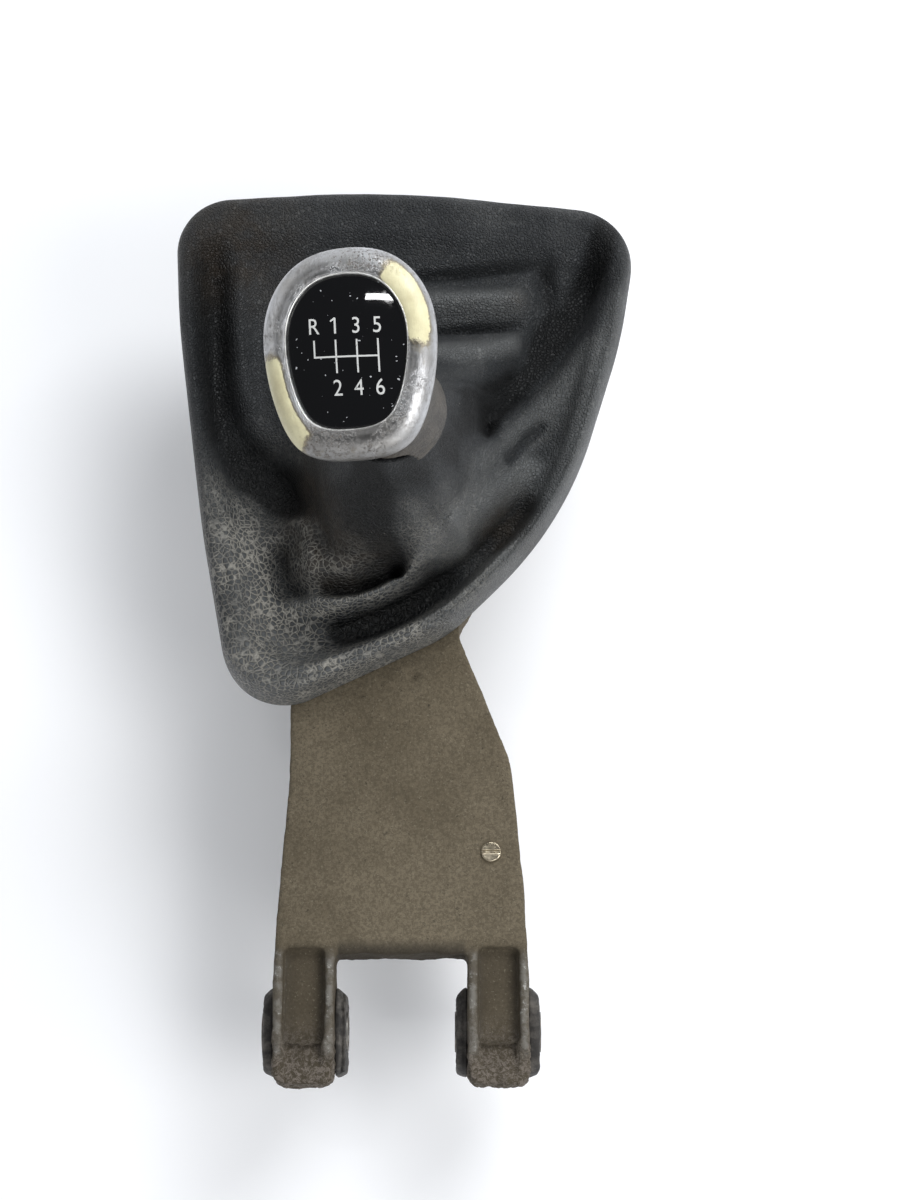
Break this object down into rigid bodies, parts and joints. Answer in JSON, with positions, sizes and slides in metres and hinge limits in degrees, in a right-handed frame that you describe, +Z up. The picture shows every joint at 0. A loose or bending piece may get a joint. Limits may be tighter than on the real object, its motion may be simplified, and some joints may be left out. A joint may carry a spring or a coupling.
{
  "type": "gear shift linkage",
  "caption": "Manual gear shift linkage: foam-clad arm with a bushed fork, ball-jointed lever, selector rod, leather gaiter and knob with a six-speed pattern.",
  "frame": {"origin": "middle of the fork's bolt axis, between the two rubber bushes", "axes": "+X along the bolt axis to the arm's right, +Y along the arm from the fork to the lever, +Z up towards the knob"},
  "size_m": [0.1588, 0.3059, 0.2097],
  "materials": {
    "arm_steel": "dark coating, worn",
    "bearing_plastic": "smooth",
    "bush_rubber": "matt",
    "cap_gloss": "gloss black",
    "core_plastic": "matt",
    "coupling_steel": "dull",
    "foam": "matt, speckled",
    "frame_plastic": "matt",
    "gaiter_leather": "grained, dusty",
    "grip_leather": "grained, worn",
    "housing_plastic": "matt",
    "ring_chrome": "satin, worn",
    "rivet_steel": "satin",
    "rod_steel": "satin",
    "sleeve_steel": "satin",
    "spring_steel": "satin",
    "washer_plastic": "smooth"
  },
  "bodies": {
    "arm": {"shift_arm": "arm_steel", "foam_jacket": "foam", "jacket_rivet": "rivet_steel", "bush_left": "bush_rubber", "bush_right": "bush_rubber", "sleeve_left": "sleeve_steel", "sleeve_right": "sleeve_steel", "rear_grommet": "bush_rubber", "rear_sleeve": "sleeve_steel", "socket_housing": "housing_plastic", "socket_ring": "housing_plastic", "gaiter_frame": "frame_plastic", "frame_clips": "spring_steel", "gaiter": "gaiter_leather"},
    "cup": {"ball_cup": "bearing_plastic"},
    "lever": {"shift_lever": "rod_steel", "lever_ball": "bearing_plastic", "eye_bush": "bearing_plastic", "eye_washers": "washer_plastic", "knob_grip": "grip_leather", "knob_core": "core_plastic", "knob_trim_ring": "ring_chrome", "knob_cap": "cap_gloss", "knob_clip": "spring_steel", "gaiter_collar": "frame_plastic"},
    "rod": {"selector_rod": "rod_steel", "rear_clip": "spring_steel", "front_clip": "spring_steel"},
    "coupling": {"front_coupling": "coupling_steel", "lock_ring": "spring_steel"}
  },
  "joints": [
    {"name": "select", "type": "hinge", "parent": "arm", "child": "cup", "pos_m": [0, 0.178, 0.004], "axis": [0, 1, 0], "range_deg": [-13, 7], "deforming": ["gaiter"]},
    {"name": "shift", "type": "hinge", "parent": "cup", "child": "lever", "pos_m": [0, 0.178, 0.004], "axis": [1, 0, 0], "range_deg": [-14, 14], "deforming": ["gaiter"]},
    {"name": "rod_pivot", "type": "hinge", "parent": "lever", "child": "rod", "pos_m": [0, 0.178, -0.034], "axis": [1, 0, 0], "range_deg": [-14, 14]},
    {"name": "coupling_pivot", "type": "hinge", "parent": "rod", "child": "coupling", "pos_m": [0, 0.082, -0.034], "axis": [1, 0, 0], "range_deg": [-35, 35]}
  ],
  "couplings": [
    {"joint": "rod_pivot", "follows": "shift", "ratio": -1}
  ]
}
